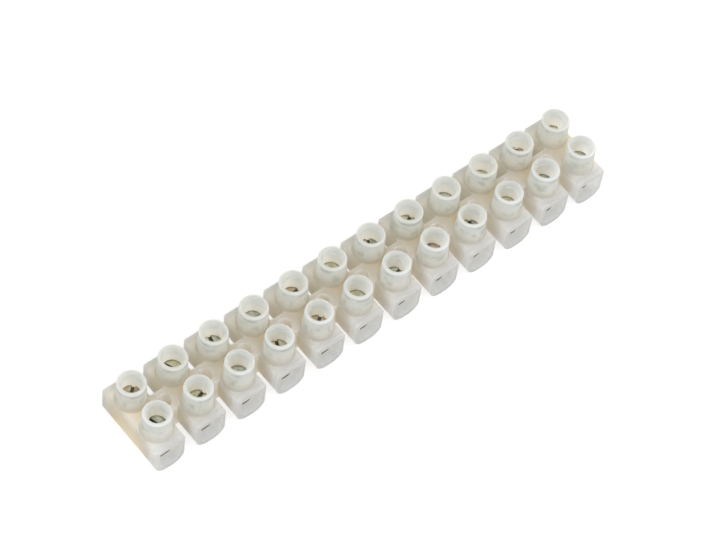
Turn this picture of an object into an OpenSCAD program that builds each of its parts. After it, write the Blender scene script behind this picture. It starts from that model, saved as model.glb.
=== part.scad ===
// Screw terminal strip: a row of connector poles in one translucent moulding.
// Each pole holds a brass tube for two wires, and two captive screws that clamp them.
// X runs along the row, Y along the wires and Z up. The origin is under the middle, on the base.

/* [Row] */
// Number of poles in the row
poles = 12; // [2:1:12]
// Distance from one pole to the next
pitch = 10; // [9:0.5:14]

/* [Poles] */
// Width of one pole, along the row
pole_w = 7.1; // [6.9:0.1:8.2]
// Length of one pole, along its wires
pole_l = 18; // [17:0.5:24]
// Height of the poles' flat roof above the base
roof_h = 8.1; // [7.9:0.1:9.5]
// Radius of the two long edges at the bottom of a pole
base_r = 3; // [2.6:0.1:3.2]
// Radius of the two long edges at the roof of a pole
roof_r = 0.6; // [0.2:0.1:0.8]
// Radius of a pole's upright corners
corner_r = 0.3; // [0.2:0.1:0.8]
// Length of the lowered lip at each end of the roof
lip_l = 0.65; // [0.4:0.05:1]
// Drop of that lip below the roof
lip_drop = 0.2; // [0.1:0.05:0.4]

/* [Wire mouths] */
// Width of the mouth in each end of a pole
mouth_w = 5.3; // [5.1:0.1:5.6]
// Thickness of the roof over a mouth
mouth_roof = 1.2; // [0.8:0.1:1.6]
// Height of a mouth's floor above the base, where it stands as a lip before the tube
mouth_floor = 1.25; // [1:0.05:1.5]
// Radius of the mouth's two lower corners
mouth_base_r = 2.2; // [1.6:0.1:2.4]
// Radius of the mouth's two upper corners
mouth_top_r = 0.3; // [0.1:0.1:0.6]

/* [Screw towers] */
// Distance between the two towers of a pole
tower_spacing = 8.4; // [7.6:0.1:9]
// Height of a tower above the roof
tower_h = 5.9; // [5:0.1:8]
// Outer diameter of a tower at its rim
tower_top_d = 6; // [5.6:0.1:6.2]
// Outer diameter of a tower at its foot
tower_foot_d = 6.5; // [6.2:0.1:6.6]
// Extra radius of the flare where a tower meets the roof
flare = 0.2; // [0.1:0.05:0.2]
// Radius of the rim's outer edge
rim_r = 0.3; // [0.1:0.05:0.4]
// Width of the bevel round the mouth of a tower
rim_bevel = 0.15; // [0.05:0.05:0.25]
// Diameter of the shaft inside a tower
shaft_d = 4.4; // [4.3:0.05:4.7]
// Distance from the rim down to the bead that keeps the screw in
bead_depth = 1.2; // [0.8:0.1:2]
// Height of that bead
bead_h = 0.5; // [0.3:0.1:0.8]

/* [Bridge] */
// Length of the bridge between poles, along the wires
bridge_l = 5; // [4.4:0.1:6]
// Height of the bridge's underside above the base
bridge_lift = 1; // [0.5:0.1:2]
// Diameter of the fixing holes through the bridge
fixing_d = 3.1; // [2.5:0.1:3.6]

/* [Brass tubes] */
// Outer diameter of a tube
tube_d = 4.8; // [4.6:0.1:5]
// Length of a tube
tube_l = 13.4; // [13:0.1:14.5]
// Diameter of the wire bore
wire_d = 3; // [2.9:0.1:3.2]
// Bevel at each end of the wire bore
wire_bevel = 0.3; // [0.1:0.05:0.5]
// Thickness of plastic under a tube
floor_t = 0.85; // [0.7:0.05:1.2]

/* [Screws] */
// Diameter of a screw's head
head_d = 4.15; // [4.12:0.01:4.2]
// Height of a screw's head
head_h = 1.3; // [1:0.1:1.6]
// Rounding at the top of the head, as a bevel
head_bevel = 0.2; // [0.1:0.05:0.4]
// Mean diameter of the screw thread
thread_d = 2.7; // [2.4:0.1:2.7]
// Length of the thread below the head
thread_l = 3.1; // [2.8:0.1:3.3]
// Bevel at the tip of the thread
tip_bevel = 0.35; // [0.1:0.05:0.6]
// Width of the driver slot
slot_w = 0.75; // [0.5:0.05:1]
// Depth of the driver slot
slot_depth = 0.7; // [0.4:0.05:0.9]

/* [Fits] */
// Radial room round a tube in its seat
seat_room = 0.05; // [0.02:0.01:0.1]
// Room between each end of a tube and the lip before it
end_room = 0.05; // [0.02:0.01:0.1]
// Radial room round the thread in the tube
thread_room = 0.05; // [0.02:0.01:0.1]
// How far the bead reaches in past the edge of a screw's head
bead_grip = 0.05; // [0.02:0.01:0.1]

/* [Hidden] */
$fn = 48;

// Height of each screw's tip above its wire bore, as the screws were left, pole 1 first
front_tips = [0.5, 0.45, 0.1, 0.4, 0.25, 0.6, 0.2, 0.2, 0.4, 0.3, 0.15, 0.4];
back_tips = [0.5, 0.6, 0.35, 0.3, 0.1, 0.4, 0.35, 0.4, 0.3, 0.1, 0.2, 0.1];
// Direction of each driver slot in degrees from the row, pole 1 first
front_slots = [105, 20, 160, 70, 35, 140, 15, 95, 55, 125, 80, 150];
back_slots = [40, 115, 75, 165, 10, 130, 60, 25, 100, 145, 50, 5];

seat_d = tube_d + 2 * seat_room;
seat_l = tube_l + 2 * end_room;
tube_z = floor_t + seat_d / 2;
mouth_l = (pole_l - tube_l) / 2;
mouth_top = roof_h - mouth_roof;
tower_top = roof_h + tower_h;
bead_d = head_d - 2 * bead_grip;
tapped_d = thread_d + 2 * thread_room;
wire_top = tube_z + wire_d / 2;
// Least distance from a tower's flare to the side of its pole
flare_margin = 0.05;
// How far a hollow runs on past the solid that it opens
cut = 1;

function two_digits(i) = i < 10 ? str("0", i) : str(i);

// Place of pole i along the row
function pole_x(i) = (i - (poles + 1) / 2) * pitch;

// Value for pole i from a list that starts over when the row is longer
function of_pole(list, i) = list[(i - 1) % len(list)];

// Outline with straight sides, one radius at its two lower corners and another at its two upper ones
module rounded_outline(width, low, high, low_r, high_r) {
    translate([-width / 2, low + low_r])
        square([width, high - low - low_r - high_r]);
    translate([-width / 2 + low_r, low])
        square([width - 2 * low_r, low_r]);
    translate([-width / 2 + high_r, high - high_r])
        square([width - 2 * high_r, high_r]);
    for (side = [-1, 1]) {
        translate([side * (width / 2 - low_r), low + low_r])
            circle(low_r);
        translate([side * (width / 2 - high_r), high - high_r])
            circle(high_r);
    }
}

// Solid of the children's outline, standing across the row from y to y + length
module along_wires(y, length) {
    translate([0, y + length, 0])
        rotate([90, 0, 0])
            linear_extrude(length)
                children();
}

// One pole without its hollows: a trough-shaped bar with rounded ends and a lip at each end of its roof
module pole() {
    difference() {
        intersection() {
            along_wires(-pole_l / 2, pole_l)
                rounded_outline(pole_w, 0, roof_h, base_r, roof_r);
            linear_extrude(roof_h)
                rounded_outline(pole_w, -pole_l / 2, pole_l / 2, corner_r, corner_r);
        }
        for (end = [-1, 1])
            translate([-pole_w, end * pole_l / 2 - lip_l, roof_h - lip_drop])
                cube([2 * pole_w, 2 * lip_l, cut]);
    }
}

// One tower without its shaft: a slender cone with a flared foot and a rounded rim
module tower() {
    foot_r = tower_foot_d / 2;
    top_r = tower_top_d / 2;
    flare_r = min(foot_r + flare, pole_w / 2 - flare_margin);
    rotate_extrude() {
        polygon([
            [0, roof_h - mouth_roof],
            [flare_r, roof_h - mouth_roof],
            [flare_r, roof_h],
            [foot_r, roof_h + 2 * flare],
            [top_r, tower_top - rim_r],
            [top_r - rim_r, tower_top],
            [0, tower_top]
        ]);
        translate([top_r - rim_r, tower_top - rim_r])
            circle(rim_r);
    }
}

// Shaft of a tower, down to the tube: bevelled rim, then a bead with a ramp above and a ledge below
module tower_shaft() {
    shaft_r = shaft_d / 2;
    ledge = tower_top - bead_depth - bead_h;
    rotate_extrude()
        polygon([
            [0, tube_z],
            [shaft_r, tube_z],
            [shaft_r, ledge],
            [bead_d / 2, ledge],
            [bead_d / 2, ledge + bead_h / 2],
            [shaft_r, ledge + bead_h],
            [shaft_r, tower_top - rim_bevel],
            [shaft_r + rim_bevel, tower_top],
            [shaft_r + rim_bevel, tower_top + cut],
            [0, tower_top + cut]
        ]);
}

// Hollows of one pole: the tube's seat, a mouth at each end of it and two shafts
module pole_hollows() {
    along_wires(-seat_l / 2, seat_l)
        translate([0, tube_z])
            circle(d = seat_d);
    for (end = [0, 1])
        mirror([0, end, 0]) {
            along_wires(seat_l / 2 - end_room, mouth_l + cut)
                rounded_outline(mouth_w, mouth_floor, mouth_top, mouth_base_r, mouth_top_r);
            translate([0, tower_spacing / 2, 0])
                tower_shaft();
        }
}

module housing() {
    color("ivory")
    difference() {
        union() {
            translate([pole_x(1), -bridge_l / 2, bridge_lift])
                cube([pole_x(poles) - pole_x(1), bridge_l, roof_h - bridge_lift]);
            for (i = [1:poles])
                translate([pole_x(i), 0, 0]) {
                    pole();
                    for (end = [-1, 1])
                        translate([0, end * tower_spacing / 2, 0])
                            tower();
                }
        }
        for (i = [1:poles])
            translate([pole_x(i), 0, 0])
                pole_hollows();
        for (i = [1:poles - 1])
            translate([pole_x(i) + pitch / 2, 0, bridge_lift - cut])
                cylinder(d = fixing_d, h = roof_h - bridge_lift + 2 * cut);
    }
}

// Tube of pole i, with a bevel at both ends of its bore and a tapped hole under each tower
module tube(i) {
    color("goldenrod")
    translate([pole_x(i), 0, tube_z])
    difference() {
        rotate([90, 0, 0])
            rotate_extrude()
                polygon([
                    [wire_d / 2, -tube_l / 2 + wire_bevel],
                    [wire_d / 2 + wire_bevel, -tube_l / 2],
                    [tube_d / 2, -tube_l / 2],
                    [tube_d / 2, tube_l / 2],
                    [wire_d / 2 + wire_bevel, tube_l / 2],
                    [wire_d / 2, tube_l / 2 - wire_bevel]
                ]);
        for (end = [-1, 1])
            translate([0, end * tower_spacing / 2, 0])
                cylinder(d = tapped_d, h = tube_d);
    }
}

// Clamping screw of pole i, in the front row for row -1 and in the back row for row 1
module screw(i, row) {
    tip = of_pole(row < 0 ? front_tips : back_tips, i);
    slot = of_pole(row < 0 ? front_slots : back_slots, i);
    color("darkkhaki")
    translate([pole_x(i), row * tower_spacing / 2, wire_top + tip])
    difference() {
        rotate_extrude()
            polygon([
                [0, 0],
                [thread_d / 2 - tip_bevel, 0],
                [thread_d / 2, tip_bevel],
                [thread_d / 2, thread_l],
                [head_d / 2, thread_l],
                [head_d / 2, thread_l + head_h - head_bevel],
                [head_d / 2 - head_bevel, thread_l + head_h],
                [0, thread_l + head_h]
            ]);
        rotate([0, 0, slot])
            translate([-head_d, -slot_w / 2, thread_l + head_h - slot_depth])
                cube([2 * head_d, slot_w, head_h]);
    }
}

housing();
for (i = [1:poles]) {
    tube(i);
    screw(i, -1);
    screw(i, 1);
}
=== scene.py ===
import math

import bmesh
import bpy
import numpy as np
from mathutils import Matrix, Vector


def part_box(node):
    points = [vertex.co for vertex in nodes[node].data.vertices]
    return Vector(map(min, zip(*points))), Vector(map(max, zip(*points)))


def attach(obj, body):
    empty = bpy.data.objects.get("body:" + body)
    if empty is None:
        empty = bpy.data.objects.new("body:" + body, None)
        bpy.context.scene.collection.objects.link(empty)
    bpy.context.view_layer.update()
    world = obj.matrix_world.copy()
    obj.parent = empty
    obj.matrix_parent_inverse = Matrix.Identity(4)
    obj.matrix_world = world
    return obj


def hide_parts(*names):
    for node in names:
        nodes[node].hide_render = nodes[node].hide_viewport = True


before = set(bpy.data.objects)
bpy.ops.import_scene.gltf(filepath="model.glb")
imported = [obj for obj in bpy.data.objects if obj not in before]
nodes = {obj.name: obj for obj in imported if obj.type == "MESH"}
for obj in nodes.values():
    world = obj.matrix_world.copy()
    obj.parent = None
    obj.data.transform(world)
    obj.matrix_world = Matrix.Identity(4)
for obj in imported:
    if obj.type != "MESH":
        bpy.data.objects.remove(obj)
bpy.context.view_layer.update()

# Housing: one moulding of natural nylon, milky and a little see-through, with a satin skin.
# Twelve poles, the bridges between them and two screw towers on each pole come out of the mould together.
# The brass and the screws inside show through its walls as warm and grey tints.
MM = 0.001
NYLON = (252, 252, 253)
NYLON_FLOW = (250, 250, 250)
NYLON_LIT_LOW = (255, 254, 253)
NYLON_LIT_SHAFT = (254, 252, 249)
NYLON_BACK_SHADE = (246, 243, 231)
MOUTH_SHADE = (223, 224, 224)
THIN_WALL_SHADE = (224, 227, 226)
BRASS_BEHIND = (253, 243, 217)
SCREW_BEHIND = (246, 248, 244)
HEAD_BEHIND = (204, 210, 206)
BEAD_SHADE = (188, 192, 190)
BEAD_SHINE = (254, 254, 254)
SPECK = (96, 88, 74)
LET_THROUGH = 0.85
NYLON_IOR = 1.53
SATIN = (0.3, 0.44)


def tone(red, green, blue):
    """A colour given as display values from 0 to 255, turned into the linear light that a shader reads."""
    shares = [v / 255 for v in (red, green, blue)]
    return [s / 12.92 if s <= 0.04045 else ((s + 0.055) / 1.055) ** 2.4 for s in shares] + [1.0]


def add(tree, kind, inputs=None, **settings):
    """One new shader node, whose inputs are constants or other nodes' outputs."""
    made = tree.nodes.new("ShaderNode" + kind)
    for name, value in settings.items():
        setattr(made, name, value)
    for key, value in (inputs or {}).items():
        if isinstance(value, bpy.types.NodeSocket):
            tree.links.new(value, made.inputs[key])
        else:
            made.inputs[key].default_value = value
    return made


def calc(tree, operation, *values):
    """The output of one Math node."""
    return add(tree, "Math", dict(enumerate(values)), operation=operation).outputs[0]


def product(tree, *factors):
    """Two or more values multiplied together."""
    total = factors[0]
    for factor in factors[1:]:
        total = calc(tree, "MULTIPLY", total, factor)
    return total


def rest_of(tree, share):
    """What a share leaves of 1."""
    return calc(tree, "SUBTRACT", 1.0, share)


def ramp(tree, value, span=(0.0, 1.0), low=0.0, high=1.0):
    """A share that goes from low to high while a value goes over a span, and stays level beyond its ends."""
    ends = {"Value": value, "From Min": span[0], "From Max": span[1], "To Min": low, "To Max": high}
    return add(tree, "MapRange", ends).outputs[0]


def beyond(tree, value, edge):
    """How far a value lies past an edge, or 0 on its near side."""
    return calc(tree, "MAXIMUM", calc(tree, "SUBTRACT", value, edge), 0.0)


def away(tree, value, middle):
    """How far a value lies from a middle, on either side of it."""
    return calc(tree, "ABSOLUTE", calc(tree, "SUBTRACT", value, middle))


def hypotenuse(tree, a, b):
    """The length of the hypotenuse over two sides."""
    return calc(tree, "SQRT", calc(tree, "ADD", calc(tree, "POWER", a, 2.0), calc(tree, "POWER", b, 2.0)))


def fading(tree, distance, reach):
    """A share that falls from 1 at no distance to about a third at the reach, and so on."""
    return calc(tree, "EXPONENT", calc(tree, "DIVIDE", distance, -reach))


def mixed(tree, share, first, second):
    """A colour between two others, by a share that varies over the surface."""
    made = add(tree, "Mix", {"Factor": share}, data_type="RGBA")
    for key, value in (("A", first), ("B", second)):
        socket = next(s for s in made.inputs if s.name == key and s.type == "RGBA")
        if isinstance(value, bpy.types.NodeSocket):
            tree.links.new(value, socket)
        else:
            socket.default_value = value
    return next(s for s in made.outputs if s.type == "RGBA")


def new_group(name, inputs, outputs):
    """An empty node group with named sockets, and its input and output nodes."""
    group = bpy.data.node_groups.new(name, "ShaderNodeTree")
    for label, kind in inputs.items():
        group.interface.new_socket(label, in_out="INPUT", socket_type=kind)
    for label, kind in outputs.items():
        group.interface.new_socket(label, in_out="OUTPUT", socket_type=kind)
    return group, group.nodes.new("NodeGroupInput"), group.nodes.new("NodeGroupOutput")


def new_material(name):
    """A material with its Principled shader, and the place on the piece that its patterns read."""
    material = bpy.data.materials.new(name)
    material.use_nodes = True
    tree = material.node_tree
    tree.nodes.clear()
    shader = tree.nodes.new("ShaderNodeBsdfPrincipled")
    output = tree.nodes.new("ShaderNodeOutputMaterial")
    tree.links.new(shader.outputs["BSDF"], output.inputs["Surface"])
    place = tree.nodes.new("ShaderNodeTexCoord").outputs["Object"]
    return material, tree, shader, place


def dress(piece, material):
    """Put one material on all of a CAD node."""
    piece.data.materials.clear()
    piece.data.materials.append(material)


# Mottle: soft clouds stretched along one direction, with a finer grain over them.
MOTTLE_DETAIL = {"Clouds": 3.0, "Grain": 2.0}
mottle, mottle_in, mottle_out = new_group(
    "mottle",
    {
        "Place": "NodeSocketVector",
        "Stretch": "NodeSocketVector",
        "Clouds": "NodeSocketFloat",
        "Grain": "NodeSocketFloat",
    },
    {"Clouds": "NodeSocketFloat", "Grain": "NodeSocketFloat"},
)
factors = {0: mottle_in.outputs["Place"], 1: mottle_in.outputs["Stretch"]}
stretched = add(mottle, "VectorMath", factors, operation="MULTIPLY").outputs[0]
for label, detail in MOTTLE_DETAIL.items():
    pattern = {"Vector": stretched, "Scale": mottle_in.outputs[label], "Detail": detail}
    mottle.links.new(add(mottle, "TexNoise", pattern).outputs["Fac"], mottle_out.inputs[label])


def mottled(tree, place, stretch, clouds, grain=0.0):
    """The mottle group's clouds and grain in a material, by a stretch and two scales in features a metre."""
    made = tree.nodes.new("ShaderNodeGroup")
    made.node_tree = mottle
    tree.links.new(place, made.inputs["Place"])
    made.inputs["Stretch"].default_value = stretch
    made.inputs["Clouds"].default_value = clouds
    made.inputs["Grain"].default_value = grain
    return made.outputs["Clouds"], made.outputs["Grain"]


# The places of what lies in the housing.
first_tube, next_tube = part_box("tube_01"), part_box("tube_02")
tube_height = ((first_tube[0] + first_tube[1]) / 2).z
tube_radius = (first_tube[1].z - first_tube[0].z) / 2
tube_end = first_tube[1].y
pitch = (next_tube[0] - first_tube[0]).x
screw_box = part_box("back_screw_01")
screw_row = (screw_box[0].y + screw_box[1].y) / 2
head_radius = (screw_box[1].y - screw_box[0].y) / 2
screw_top = screw_box[1].z
pole_end, tower_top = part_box("housing")[1].yz


def off_middle(tree, axes):
    """How far a place lies from the middle of its pole, along the row and with a sign, and from the middle of
    the row, along the wires and without one."""
    in_pole = calc(tree, "WRAP", axes.outputs["X"], pitch, 0.0)
    return calc(tree, "SUBTRACT", in_pole, pitch / 2), calc(tree, "ABSOLUTE", axes.outputs["Y"])


def off_axis(tree, along_row, along_wire):
    """How far a place lies from the axis of the nearest screw."""
    return hypotenuse(tree, along_row, calc(tree, "SUBTRACT", along_wire, screw_row))


nylon, tree, shader, place = new_material("natural_nylon")
axes = add(tree, "SeparateXYZ", {0: place})
height = axes.outputs["Z"]
along_row, along_wire = off_middle(tree, axes)
off_pole = calc(tree, "ABSOLUTE", along_row)

# The shafts of the towers, told from all that lies outside them by the distance from the screw's head.
SHAFT_WALL = (0.2 * MM, 0.6 * MM)
from_screw = beyond(tree, off_axis(tree, along_row, along_wire), head_radius)
outside = ramp(tree, from_screw, SHAFT_WALL)
in_shaft = rest_of(tree, outside)

# The plastic: flow clouds; painted light low down and, a little warm, in the shafts; painted shade, a little
# yellow, towards the back.
FLOW_STRETCH, FLOW_CLOUDS, FLOW_GRAIN = (1.0, 1.0, 0.35), 260.0, 9000.0
LOW_BODY = (8.0 * MM, 6.0 * MM)
TOWER_FOOT = (11.0 * MM, 8.0 * MM)
TOWER_SHADE_SHARE, BACK_SHADE_SHARE = 0.8, 0.7
flow_clouds, flow_grain = mottled(tree, place, FLOW_STRETCH, FLOW_CLOUDS, FLOW_GRAIN)
flowing = mixed(tree, flow_clouds, tone(*NYLON), tone(*NYLON_FLOW))
lit_low = mixed(tree, ramp(tree, height, LOW_BODY), flowing, tone(*NYLON_LIT_LOW))
lightened = mixed(tree, in_shaft, lit_low, tone(*NYLON_LIT_SHAFT))
# Painted shade, a little yellow, towards the back, a little less on the towers.
back_half = ramp(tree, axes.outputs["Y"], (0.0, pole_end), high=BACK_SHADE_SHARE)
back_shade = product(tree, back_half, ramp(tree, height, TOWER_FOOT, low=TOWER_SHADE_SHARE))
back_shaded = mixed(tree, back_shade, lightened, tone(*NYLON_BACK_SHADE))

# Painted shade in the wire mouths and on the end walls around them.
MOUTH_START = (tube_end - 0.3 * MM, tube_end + 0.7 * MM)
MOUTH_TOP = (7.3 * MM, 6.9 * MM)
MOUTH_SIDE = (3.0 * MM, 2.7 * MM)
END_WALL = (tube_end + 0.6 * MM, tube_end + 1.3 * MM)
END_FACE = (pole_end - 0.25 * MM, pole_end - 0.05 * MM)
MOUTH_SHARE, END_SHARE, FACE_SHARE = 0.9, 0.4, 0.9
mouth = ramp(tree, along_wire, MOUTH_START, high=MOUTH_SHARE)
in_mouth = product(tree, ramp(tree, height, MOUTH_TOP), ramp(tree, off_pole, MOUTH_SIDE), mouth)
end_wall = ramp(tree, along_wire, END_WALL, high=END_SHARE)
end_face = ramp(tree, along_wire, END_FACE, high=FACE_SHARE)
shaded_end = calc(tree, "MAXIMUM", in_mouth, calc(tree, "MAXIMUM", end_wall, end_face))
ended = mixed(tree, shaded_end, back_shaded, tone(*MOUTH_SHADE))

# Painted shade on the towers' thin walls, greyer upwards, under a rim that looks pale because it is seen on
# edge.
TOWER_RISE = (tower_top - 4.2 * MM, tower_top - 0.5 * MM)
RIM_EDGE = (tower_top - 0.4 * MM, tower_top - 0.05 * MM)
SHAFT_SHARE = 0.9
below_rim = rest_of(tree, product(tree, ramp(tree, height, RIM_EDGE), outside))
thin_shade = product(tree, ramp(tree, height, TOWER_RISE), below_rim, ramp(tree, outside, low=SHAFT_SHARE))
thin_shaded = mixed(tree, thin_shade, ended, tone(*THIN_WALL_SHADE))

# The brass behind the walls: a warm tint that fades with the distance from the tube, faster to the sides and
# past the ends than upwards. It is fainter near the fixing holes and low down.
TUBE_REACH, TUBE_FADE = 1.9 * MM, 2.0 * MM
FADE_UPWARDS, FADE_SIDEWAYS, FADE_ENDWAYS = 0.7, 1.5, 1.5
HOLE_RADIUS = 1.55 * MM
HOLE_WALL = (HOLE_RADIUS, 1.3 * HOLE_RADIUS)
HOLE_TINT, BRASS_TINT = 0.2, 0.9
LOW_WALL = (2.0 * MM, 7.0 * MM)
FLOOR_TINT = 0.15
above_tube = product(tree, calc(tree, "SUBTRACT", height, tube_height), FADE_UPWARDS)
from_tube = beyond(tree, hypotenuse(tree, product(tree, along_row, FADE_SIDEWAYS), above_tube), tube_radius)
past_tube = product(tree, beyond(tree, along_wire, tube_end - TUBE_FADE), FADE_ENDWAYS)
brass_near = fading(tree, hypotenuse(tree, from_tube, past_tube), TUBE_REACH)
from_hole = hypotenuse(tree, calc(tree, "SUBTRACT", pitch / 2, off_pole), axes.outputs["Y"])
off_hole = ramp(tree, from_hole, HOLE_WALL, HOLE_TINT, BRASS_TINT)
brass_seen = product(tree, brass_near, off_hole, ramp(tree, height, LOW_WALL, low=FLOOR_TINT))
warmed = mixed(tree, brass_seen, thin_shaded, tone(*BRASS_BEHIND))

# The screws behind the towers' walls: a grey tint beside them, and over their heads painted glints in broken
# grey patches.
SCREW_REACH = 1.1 * MM
SCREW_SHARE = 0.5
GLINT_STRETCH, GLINT_CLOUDS = (1.0, 1.0, 0.8), 460.0
GLINT_PATCHES = (0.48, 0.66)
GLINT_SHARE = 0.7
OVER_HEAD = (screw_top - 0.8 * MM, screw_top + 0.4 * MM)
UNDER_BEAD = (tower_top - 1.4 * MM, tower_top - 2.4 * MM)
screw_near = fading(tree, hypotenuse(tree, from_screw, beyond(tree, height, screw_top)), SCREW_REACH)
greyed = mixed(tree, product(tree, screw_near, outside, SCREW_SHARE), warmed, tone(*SCREW_BEHIND))
glint_clouds = mottled(tree, place, GLINT_STRETCH, GLINT_CLOUDS)[0]
glints = ramp(tree, glint_clouds, GLINT_PATCHES, high=GLINT_SHARE)
band = product(tree, ramp(tree, height, OVER_HEAD), ramp(tree, height, UNDER_BEAD), outside)
glinted = mixed(tree, product(tree, glints, band), greyed, tone(*HEAD_BEHIND))

# The bead in each shaft: in places a dark line outside, painted shade of the bead seen through the wall, and
# a painted shine inside.
BEAD_LINE, LINE_REACH = tower_top - 0.9 * MM, 0.25 * MM
BEAD_MIDDLE, SHINE_REACH = tower_top - 1.45 * MM, 0.2 * MM
BEAD_PATCHES = (0.48, 0.6)
patchy = ramp(tree, flow_clouds, BEAD_PATCHES)
bead_seen = product(tree, fading(tree, away(tree, height, BEAD_LINE), LINE_REACH), outside, patchy)
lined = mixed(tree, bead_seen, glinted, tone(*BEAD_SHADE))
bead_lit = product(tree, fading(tree, away(tree, height, BEAD_MIDDLE), SHINE_REACH), in_shaft, patchy)
lit = mixed(tree, bead_lit, lined, tone(*BEAD_SHINE))

# A few dark specks, burnt in the mould.
SPECKS_PER_METRE = 110.0
SPECK_EDGE = 0.16 * MM
SPECK_CORE = 6 / 11 * SPECK_EDGE
spread = {"Vector": place, "Scale": SPECKS_PER_METRE, "Randomness": 1.0}
nearest = add(tree, "TexVoronoi", spread).outputs["Distance"]
speck = ramp(tree, nearest, (SPECKS_PER_METRE * SPECK_EDGE, SPECKS_PER_METRE * SPECK_CORE))
specked = mixed(tree, speck, lit, tone(*SPECK))

# The skin: satin, finely grained, with a faint hollow over each bead.
GRAIN_STRENGTH, GRAIN_DEPTH = 0.12, 0.02 * MM
HOLLOW_STRENGTH, HOLLOW_DEPTH = 0.5, 0.15 * MM
grain = {"Height": flow_grain, "Strength": GRAIN_STRENGTH, "Distance": GRAIN_DEPTH}
grained = add(tree, "Bump", grain).outputs[0]
hollow = {"Height": bead_seen, "Strength": HOLLOW_STRENGTH, "Distance": HOLLOW_DEPTH, "Normal": grained}
skin = add(tree, "Bump", hollow, invert=True).outputs[0]
tree.links.new(specked, shader.inputs["Base Color"])
tree.links.new(ramp(tree, flow_clouds, low=SATIN[0], high=SATIN[1]), shader.inputs["Roughness"])
tree.links.new(skin, shader.inputs["Normal"])
shader.inputs["IOR"].default_value = NYLON_IOR
milky = add(tree, "BsdfTranslucent", {"Color": specked, "Normal": skin})
both = add(tree, "MixShader", {0: LET_THROUGH, 1: shader.outputs[0], 2: milky.outputs[0]})
tree.links.new(both.outputs[0], tree.nodes["Material Output"].inputs["Surface"])
dress(nodes["housing"], nylon)

# Tubes: drawn brass tube, cut to length, bevelled at both ends of the wire bore and tapped twice.
# Each lies loose in its seat until its screws are tight, and only its ends show in the wire mouths.
BRASS = (240, 222, 168)
BRASS_END_SHADE = (104, 80, 48)
BRASS_ROUGHNESS = (0.36, 0.58)
DRAWN_STRETCH, DRAWN_CLOUDS, DRAWN_GRAIN = (1.0, 0.08, 1.0), 700.0, 6000.0
SHADED_TUBE_END = (tube_end - 3.0 * MM, tube_end)
TUBE_SHADE_LEVEL = 0.5
LINE_STRENGTH, LINE_DEPTH = 0.2, 0.01 * MM

brass, tree, shader, place = new_material("drawn_brass")
drawn_clouds, drawn_grain = mottled(tree, place, DRAWN_STRETCH, DRAWN_CLOUDS, DRAWN_GRAIN)
along_tube = calc(tree, "ABSOLUTE", add(tree, "SeparateXYZ", {0: place}).outputs["Y"])
# The open ends darker: painted shade of the wire mouths, broken up by the clouds.
open_end = ramp(tree, along_tube, SHADED_TUBE_END)
tube_end_shade = ramp(tree, calc(tree, "ADD", open_end, calc(tree, "SUBTRACT", drawn_clouds, TUBE_SHADE_LEVEL)))
tree.links.new(mixed(tree, tube_end_shade, tone(*BRASS), tone(*BRASS_END_SHADE)), shader.inputs["Base Color"])
dull = ramp(tree, drawn_clouds, low=BRASS_ROUGHNESS[0], high=BRASS_ROUGHNESS[1])
tree.links.new(dull, shader.inputs["Roughness"])
shader.inputs["Metallic"].default_value = 1.0
lines = add(tree, "Bump", {"Height": drawn_grain, "Strength": LINE_STRENGTH, "Distance": LINE_DEPTH})
tree.links.new(lines.outputs[0], shader.inputs["Normal"])
for name, piece in nodes.items():
    if name.startswith("tube_"):
        dress(piece, brass)

# Screws: turned steel with a rolled thread and a slotted head, zinc plated and passivated in films whose
# colour differs a little from screw to screw. Each was screwed down by hand to its own height, under the
# bead that keeps it in. Its slot and the edge of its head are darker: painted shade, with grime in patches.
HEAD_HEIGHT = 1.3 * MM
HEAD_ROUND = 0.2 * MM
THREAD_CREST, THREAD_ROOT = 1.37 * MM, 1.16 * MM
THREAD_PITCH = 0.5 * MM
FLANK_SLOPE, ROOT_CUT = 1.6, 0.3
TIP_BEVEL = 0.35 * MM
SLOT_WIDTH, SLOT_DEPTH = 0.75 * MM, 0.7 * MM
THREAD_ROWS, TOP_ROWS = 50, 12
SLOT_COLUMNS, LAND_COLUMNS = 5, 27
SAME_POINT = 1e-7
HAIR = 0.001 * MM
FOLD = math.radians(35)
FRONT_SLOTS = [105, 20, 160, 70, 35, 140, 15, 95, 55, 125, 80, 150]
BACK_SLOTS = [40, 115, 75, 165, 10, 130, 60, 25, 100, 145, 50, 5]
FRONT_FILMS = "grey olive grey olive rust olive grey rust grey olive grey grey".split()
BACK_FILMS = "rust olive grey grey rust olive grey olive grey olive rust olive".split()
FILMS = {
    "olive": ((226, 222, 192), (188, 186, 158)),
    "grey": ((220, 222, 210), (176, 180, 168)),
    "rust": ((218, 201, 178), (174, 157, 138)),
}
GRIME_AND_SHADE = (116, 110, 90)
SLOT_SHADE_AND_DIRT = (104, 100, 84)
STAIN_STRETCH, STAIN_CLOUDS, STAIN_GRAIN = (1.0, 1.0, 1.0), 900.0, 12000.0
FILM_PATCHES = (0.35, 0.65)
SHADED_HEAD_EDGE = (0.7 * head_radius, head_radius)
GRIME_AND_SHADE_LEVEL = 0.55
FILM_ROUGHNESS = (0.26, 0.46)
TURNED_STRENGTH, TURNED_DEPTH = 0.15, 0.01 * MM

screw_length = screw_box[1].z - screw_box[0].z
shank = screw_length - HEAD_HEIGHT
slot_floor = screw_length - SLOT_DEPTH
slot_corner = math.asin(SLOT_WIDTH / 2 / head_radius)
across_slot = np.linspace(-slot_corner, slot_corner, SLOT_COLUMNS)
across_land = np.linspace(slot_corner, np.pi - slot_corner, LAND_COLUMNS)
half_turn = np.concatenate([across_slot[:-1], across_land[:-1]])
whole_turn = np.concatenate([half_turn, half_turn + np.pi])
to_slot = SLOT_WIDTH / 2 / np.sin(across_land)


def around(radius, turn, height):
    """Points at a radius, a turn and a height, as a grid over the rows of one and the columns of another."""
    radius, turn, height = np.broadcast_arrays(radius, turn, height)
    return np.stack([radius * np.cos(turn), radius * np.sin(turn), height], -1)


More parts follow.
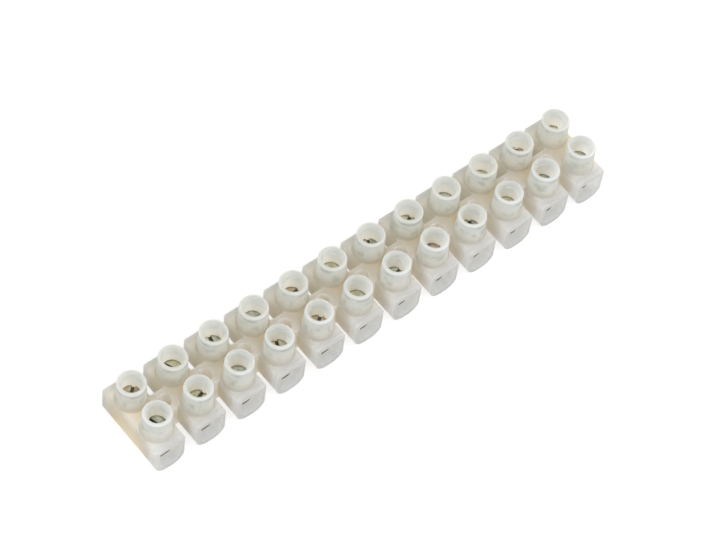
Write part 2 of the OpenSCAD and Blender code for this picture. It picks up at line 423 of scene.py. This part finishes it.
def thread_points():
    """The shank over height and turn. Its radius is a clipped triangle wave along a helix, which keeps inside
    the bevelled tip and runs out under the head. A first row closes the tip, and a last one reaches the
    head's edge."""
    height = np.linspace(0, shank, THREAD_ROWS)[:, None]
    along_helix = (height / THREAD_PITCH - whole_turn / (2 * np.pi)) % 1
    ridge = np.clip(FLANK_SLOPE * np.abs(2 * along_helix - 1) - ROOT_CUT, 0, 1)
    runout = np.clip((shank - height) / THREAD_PITCH, 0, 1)
    cut = THREAD_ROOT + (THREAD_CREST - THREAD_ROOT) * ridge * runout
    radius = np.minimum(cut, THREAD_CREST - TIP_BEVEL + height)
    tip = around(np.zeros((1, 1)), whole_turn, 0.0)
    under_head = around(np.full((1, 1), head_radius), whole_turn, shank)
    return np.concatenate([tip, around(radius, whole_turn, height), under_head])


def land_points():
    """One land beside the slot, over a profile and the turn from one end of the slot to the other. The
    profile goes up the head's side, over its rounded edge, across the top to the slot and down its wall."""
    side = np.array([[shank], [slot_floor], [screw_length - HEAD_ROUND]])
    inward = np.linspace(0, 1, TOP_ROWS)[1:, None] ** 2
    top_radius = head_radius - inward * (head_radius - to_slot)
    past_round = np.clip((top_radius - head_radius) / HEAD_ROUND + 1, 0, 1)
    top_height = screw_length - HEAD_ROUND * (1 - np.sqrt(1 - past_round**2))
    foot = around(to_slot, across_land, np.full((1, 1), slot_floor))
    up_side = around(head_radius, across_land, side)
    over_top = around(top_radius, across_land, top_height)
    return np.concatenate([up_side, over_top, foot])


def slot_points():
    """The slot's floor, carried straight across from the foot of one land to the foot of the other."""
    foot = around(to_slot, across_land, slot_floor)
    return np.stack([foot, foot * (1, -1, 1)])


def grid_faces(first, rows, columns, closed):
    """Four corners for each cell of a grid, by the number of its first point. A closed grid's last column
    meets its first."""
    row, column = np.mgrid[0 : rows - 1, 0 : columns if closed else columns - 1]
    start, end = row * columns, (row + 1) * columns
    beside = (column + 1) % columns
    corners = start + column, start + beside, end + beside, end + column
    return first + np.stack(corners, -1).reshape(-1, 4)


def whole_screw():
    """The patches of a screw joined into one closed skin, with its tip at the origin and its slot along X."""
    land, below_slot = land_points(), around(head_radius, across_slot, np.array([[shank], [slot_floor]]))
    turned = (-1, -1, 1)
    slot_ends = below_slot[1:], below_slot[1:] * turned
    patches = [thread_points(), land, land * turned, slot_points(), below_slot, below_slot * turned]
    faces, first = [], 0
    for patch in patches:
        faces += grid_faces(first, *patch.shape[:2], closed=patch is patches[0]).tolist()
        first += patch.shape[0] * patch.shape[1]
    for end in slot_ends:
        faces.append(list(range(first, first + end.shape[1])))
        first += end.shape[1]
    points = np.concatenate([patch.reshape(-1, 3) for patch in (*patches, *slot_ends)])
    return points, faces


def closed_skin(name, points, faces):
    """A mesh whose patches are merged along their edges, with its faces outwards and smooth but for folds."""
    skin = bpy.data.meshes.new(name)
    skin.from_pydata(points.tolist(), [], faces)
    working = bmesh.new()
    working.from_mesh(skin)
    bmesh.ops.remove_doubles(working, verts=working.verts, dist=SAME_POINT)
    bmesh.ops.recalc_face_normals(working, faces=working.faces)
    working.to_mesh(skin)
    working.free()
    skin.shade_smooth()
    skin.set_sharp_from_angle(angle=FOLD)
    return skin


def mark_slot(skin, tip, turn):
    """Give each point of a screw its depth in the slot: 1 along the slot's floor and 0 elsewhere, so that the
    share falls off up the slot's walls."""
    places = np.empty(3 * len(skin.vertices))
    skin.vertices.foreach_get("co", places)
    unturned = (places.reshape(-1, 3) - tip) @ turn
    within_walls = np.abs(unturned[:, 1]) < SLOT_WIDTH / 2 + HAIR
    on_floor = np.abs(unturned[:, 2] - slot_floor) < HAIR
    depth = skin.attributes.new("slot_depth", "FLOAT", "POINT")
    depth.data.foreach_set("value", (within_walls & on_floor).astype(float))


plated = {}
for film, (bright, worn) in FILMS.items():
    plated[film], tree, shader, place = new_material(f"plated_steel_{film}")
    stain_clouds, stain_grain = mottled(tree, place, STAIN_STRETCH, STAIN_CLOUDS, STAIN_GRAIN)
    axes = add(tree, "SeparateXYZ", {0: place})
    # Painted shade round the edge of each head and on the floor of its slot, with patches of grime.
    edge = ramp(tree, off_axis(tree, *off_middle(tree, axes)), SHADED_HEAD_EDGE)
    grime_and_shade = ramp(tree, calc(tree, "ADD", edge, calc(tree, "SUBTRACT", stain_clouds, GRIME_AND_SHADE_LEVEL)))
    film_colour = mixed(tree, ramp(tree, stain_clouds, FILM_PATCHES), tone(*bright), tone(*worn))
    grimed_and_shaded_head = mixed(tree, grime_and_shade, film_colour, tone(*GRIME_AND_SHADE))
    in_slot = add(tree, "Attribute", attribute_name="slot_depth").outputs["Fac"]
    tree.links.new(mixed(tree, in_slot, grimed_and_shaded_head, tone(*SLOT_SHADE_AND_DIRT)), shader.inputs["Base Color"])
    gloss = ramp(tree, stain_clouds, low=FILM_ROUGHNESS[0], high=FILM_ROUGHNESS[1])
    tree.links.new(gloss, shader.inputs["Roughness"])
    shader.inputs["Metallic"].default_value = 1.0
    turned = add(tree, "Bump", {"Height": stain_grain, "Strength": TURNED_STRENGTH, "Distance": TURNED_DEPTH})
    tree.links.new(turned.outputs[0], shader.inputs["Normal"])

screw_points, screw_faces = whole_screw()
for row, slots, films in (("front", FRONT_SLOTS, FRONT_FILMS), ("back", BACK_SLOTS, BACK_FILMS)):
    for pole, (slot, film) in enumerate(zip(slots, films), 1):
        node = f"{row}_screw_{pole:02d}"
        low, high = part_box(node)
        tip = Vector(((low.x + high.x) / 2, (low.y + high.y) / 2, low.z))
        turn = np.array(Matrix.Rotation(math.radians(slot), 3, "Z"))
        skin = closed_skin(node, screw_points @ turn.T + tip, screw_faces)
        mark_slot(skin, tip, turn)
        screw = bpy.data.objects.new(f"{node}_threaded", skin)
        screw.data.materials.append(plated[film])
        bpy.context.scene.collection.objects.link(screw)
        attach(screw, node)
        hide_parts(node)

# Floor and light: the strip lies on a white table under a pale sky and three broad soft lamps, one over the
# camera and one on each side of it. To the camera the table is white, with a soft shadow under the strip.
FLOOR_SIZE = 3.0
FLOOR_BOUNCE = (0.92, 0.92, 0.92, 1.0)
FLOOR_SHADE = (0.36, 0.36, 0.36, 1.0)
FLOOR_GLOW = 0.68
SKY = 0.85
WHITE = (1.0, 1.0, 1.0, 1.0)
LAMP_SIZE = 0.5
LAMPS = {
    "lamp_front": {"place": (-0.33, -0.41, 0.84), "watts": 1.7},
    "lamp_right": {"place": (0.4, -0.65, 0.5), "watts": 2.4},
    "lamp_left": {"place": (-0.6, 0.3, 0.65), "watts": 1.2},
}


def seen_directly(tree):
    """1 for the camera and for what metal and plastic mirror, and 0 for light that falls on things."""
    path = tree.nodes.new("ShaderNodeLightPath")
    mirrored = calc(tree, "MAXIMUM", path.outputs["Is Glossy Ray"], path.outputs["Is Transmission Ray"])
    return calc(tree, "MAXIMUM", path.outputs["Is Camera Ray"], mirrored)


half = FLOOR_SIZE / 2
floor_mesh = bpy.data.meshes.new("floor")
corners = [(-half, -half, 0), (half, -half, 0), (half, half, 0), (-half, half, 0)]
floor_mesh.from_pydata(corners, [], [(0, 1, 2, 3)])
floor = bpy.data.objects.new("floor", floor_mesh)
bpy.context.scene.collection.objects.link(floor)
table = bpy.data.materials.new("white_table")
table.use_nodes = True
tree = table.node_tree
tree.nodes.clear()
bounce = add(tree, "BsdfDiffuse", {"Color": FLOOR_BOUNCE})
shade = add(tree, "BsdfDiffuse", {"Color": FLOOR_SHADE})
glow = add(tree, "Emission", {"Strength": FLOOR_GLOW})
shown = add(tree, "AddShader", {0: shade.outputs[0], 1: glow.outputs[0]})
either = add(tree, "MixShader", {0: seen_directly(tree), 1: bounce.outputs[0], 2: shown.outputs[0]})
add(tree, "OutputMaterial", {"Surface": either.outputs[0]})
floor_mesh.materials.append(table)

world = bpy.data.worlds.new("pale_sky")
bpy.context.scene.world = world
world.use_nodes = True
tree = world.node_tree
tree.nodes.clear()
strength = ramp(tree, seen_directly(tree), low=SKY)
sky = add(tree, "Background", {"Color": WHITE, "Strength": strength})
add(tree, "OutputWorld", {"Surface": sky.outputs[0]})

for name, lamp in LAMPS.items():
    light = bpy.data.lights.new(name, "AREA")
    light.size, light.energy = LAMP_SIZE, lamp["watts"]
    holder = bpy.data.objects.new(name, light)
    holder.location = lamp["place"]
    holder.rotation_euler = (-Vector(lamp["place"])).to_track_quat("-Z", "Y").to_euler()
    bpy.context.scene.collection.objects.link(holder)

# Camera: a long lens, high over the left end of the front row, a little rolled.
# Its angles, distance and length come from a fit to the rims of the 24 towers in the photograph.
PHOTO_WIDTH = 710
AZIMUTH, ELEVATION, ROLL = (math.radians(v) for v in (46.33, 56.54, 9.09))
DISTANCE = 557.55 * MM
AIM = Vector((-4.62, -2.55, 14.0)) * MM
FOCAL_PIXELS = 2783.1
SENSOR = 36.0
NEAR, FAR = 0.01, 10.0

flat = math.cos(ELEVATION)
back = Vector((-math.sin(AZIMUTH) * flat, -math.cos(AZIMUTH) * flat, math.sin(ELEVATION)))
level = Vector((0, 0, 1)).cross(back).normalized()
upright = back.cross(level)
right = math.cos(ROLL) * level + math.sin(ROLL) * upright
up = math.cos(ROLL) * upright - math.sin(ROLL) * level
lens = bpy.data.cameras.new("camera")
lens.sensor_width, lens.lens = SENSOR, FOCAL_PIXELS * SENSOR / PHOTO_WIDTH
lens.clip_start, lens.clip_end = NEAR, FAR
camera = bpy.data.objects.new("camera", lens)
facing = Matrix((right, up, back)).transposed().to_4x4()
camera.matrix_world = Matrix.Translation(AIM + back * DISTANCE) @ facing
bpy.context.scene.collection.objects.link(camera)
bpy.context.scene.camera = camera
bpy.context.scene.view_settings.view_transform = "Standard"
